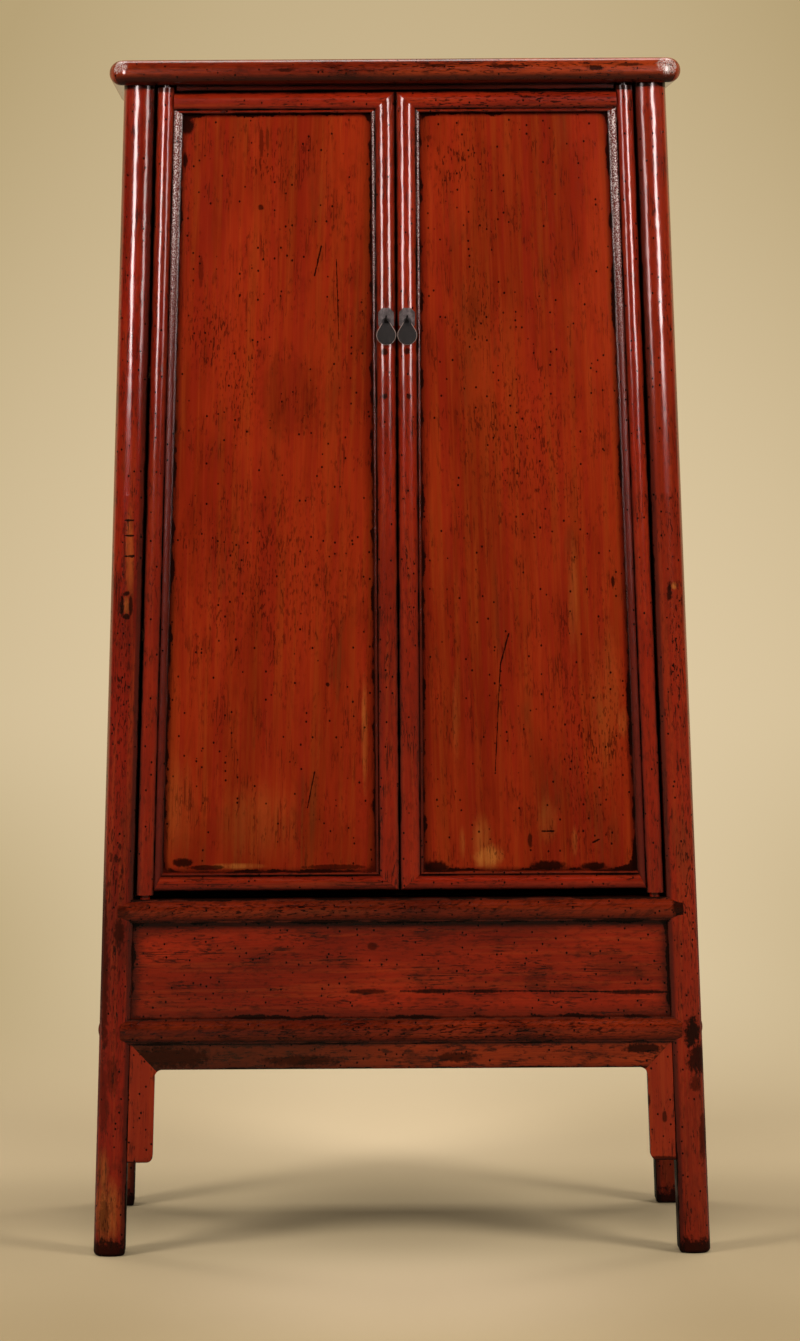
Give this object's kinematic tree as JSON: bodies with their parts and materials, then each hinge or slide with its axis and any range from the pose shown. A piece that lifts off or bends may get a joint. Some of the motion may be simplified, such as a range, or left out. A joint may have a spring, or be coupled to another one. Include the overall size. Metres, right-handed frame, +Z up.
{
  "type": "tapered cabinet",
  "caption": "Tall tapered storage cabinet with splayed legs, wood-pivot double doors with drop pulls, inner shelves and a closed belly compartment under lift-out floor boards.",
  "frame": {"origin": "on the floor, at the centre of the footprint of the four feet", "axes": "+Z up; -Y is the front, where the doors are; +X is to the right for someone facing the doors"},
  "size_m": [0.9556, 0.4648, 1.85],
  "materials": {
    "frame_lacquer": "worn red lacquer, satin",
    "door_panel_lacquer": "worn red lacquer over vertical grain, satin",
    "panel_lacquer": "dark red lacquer, satin",
    "back_wood": "thin dark lacquer, matte",
    "bare_wood": "bare aged wood, matte",
    "iron": "dark worn iron"
  },
  "bodies": {
    "carcass": {"back_apron": "back_wood", "back_belly_panel": "back_wood", "back_left_leg": "frame_lacquer", "back_left_panel": "back_wood", "back_lower_stretcher": "back_wood", "back_muntin": "back_wood", "back_right_leg": "frame_lacquer", "back_right_panel": "back_wood", "back_upper_stretcher": "back_wood", "bottom_board": "bare_wood", "floor_crossbar": "bare_wood", "front_apron": "frame_lacquer", "front_belly_panel": "panel_lacquer", "front_left_leg": "frame_lacquer", "front_left_spandrel": "frame_lacquer", "front_lintel": "frame_lacquer", "front_lower_stretcher": "frame_lacquer", "front_right_leg": "frame_lacquer", "front_right_spandrel": "frame_lacquer", "front_upper_stretcher": "frame_lacquer", "left_apron": "frame_lacquer", "left_battens": "bare_wood", "left_lower_stretcher": "frame_lacquer", "left_panel": "panel_lacquer", "left_spandrels": "frame_lacquer", "lower_shelf": "bare_wood", "right_apron": "frame_lacquer", "right_battens": "bare_wood", "right_lower_stretcher": "frame_lacquer", "right_panel": "panel_lacquer", "right_spandrels": "frame_lacquer", "top_back_rail": "frame_lacquer", "top_battens": "bare_wood", "top_front_rail": "frame_lacquer", "top_left_rail": "frame_lacquer", "top_panel": "frame_lacquer", "top_right_rail": "frame_lacquer", "upper_shelf": "bare_wood"},
    "left_door": {"left_door_battens": "bare_wood", "left_door_bottom_rail": "frame_lacquer", "left_door_hinge_stile": "frame_lacquer", "left_door_meeting_stile": "frame_lacquer", "left_door_panel": "door_panel_lacquer", "left_door_top_rail": "frame_lacquer", "left_pull_plate": "iron", "left_pull_staple": "iron"},
    "right_door": {"right_door_battens": "bare_wood", "right_door_bottom_rail": "frame_lacquer", "right_door_hinge_stile": "frame_lacquer", "right_door_meeting_stile": "frame_lacquer", "right_door_panel": "door_panel_lacquer", "right_door_top_rail": "frame_lacquer", "right_pull_plate": "iron", "right_pull_staple": "iron"},
    "left_pendant": {"left_pull_pendant": "iron"},
    "right_pendant": {"right_pull_pendant": "iron"},
    "left_floor": {"left_floor_board": "bare_wood"},
    "right_floor": {"right_floor_board": "bare_wood"}
  },
  "joints": [
    {"name": "left_door_hinge", "type": "hinge", "parent": "carcass", "child": "left_door", "pos_m": [-0.39469, -0.20878, 0.55], "axis": [-0.0315, -0.0177, -0.9993], "range_deg": [0, 100]},
    {"name": "right_door_hinge", "type": "hinge", "parent": "carcass", "child": "right_door", "pos_m": [0.39469, -0.20878, 0.55], "axis": [-0.0315, 0.0177, 0.9993], "range_deg": [0, 100]},
    {"name": "left_pendant_swing", "type": "hinge", "parent": "left_door", "child": "left_pendant", "pos_m": [-0.01625, -0.21293, 1.447], "axis": [-1, 0, 0], "range_deg": [0, 85]},
    {"name": "right_pendant_swing", "type": "hinge", "parent": "right_door", "child": "right_pendant", "pos_m": [0.01625, -0.21293, 1.447], "axis": [-1, 0, 0], "range_deg": [0, 85]},
    {"name": "left_floor_lift", "type": "slide", "parent": "carcass", "child": "left_floor", "axis": [0, 0, 1], "range_m": [0, 0.08]},
    {"name": "right_floor_lift", "type": "slide", "parent": "carcass", "child": "right_floor", "axis": [0, 0, 1], "range_m": [0, 0.08]}
  ]
}
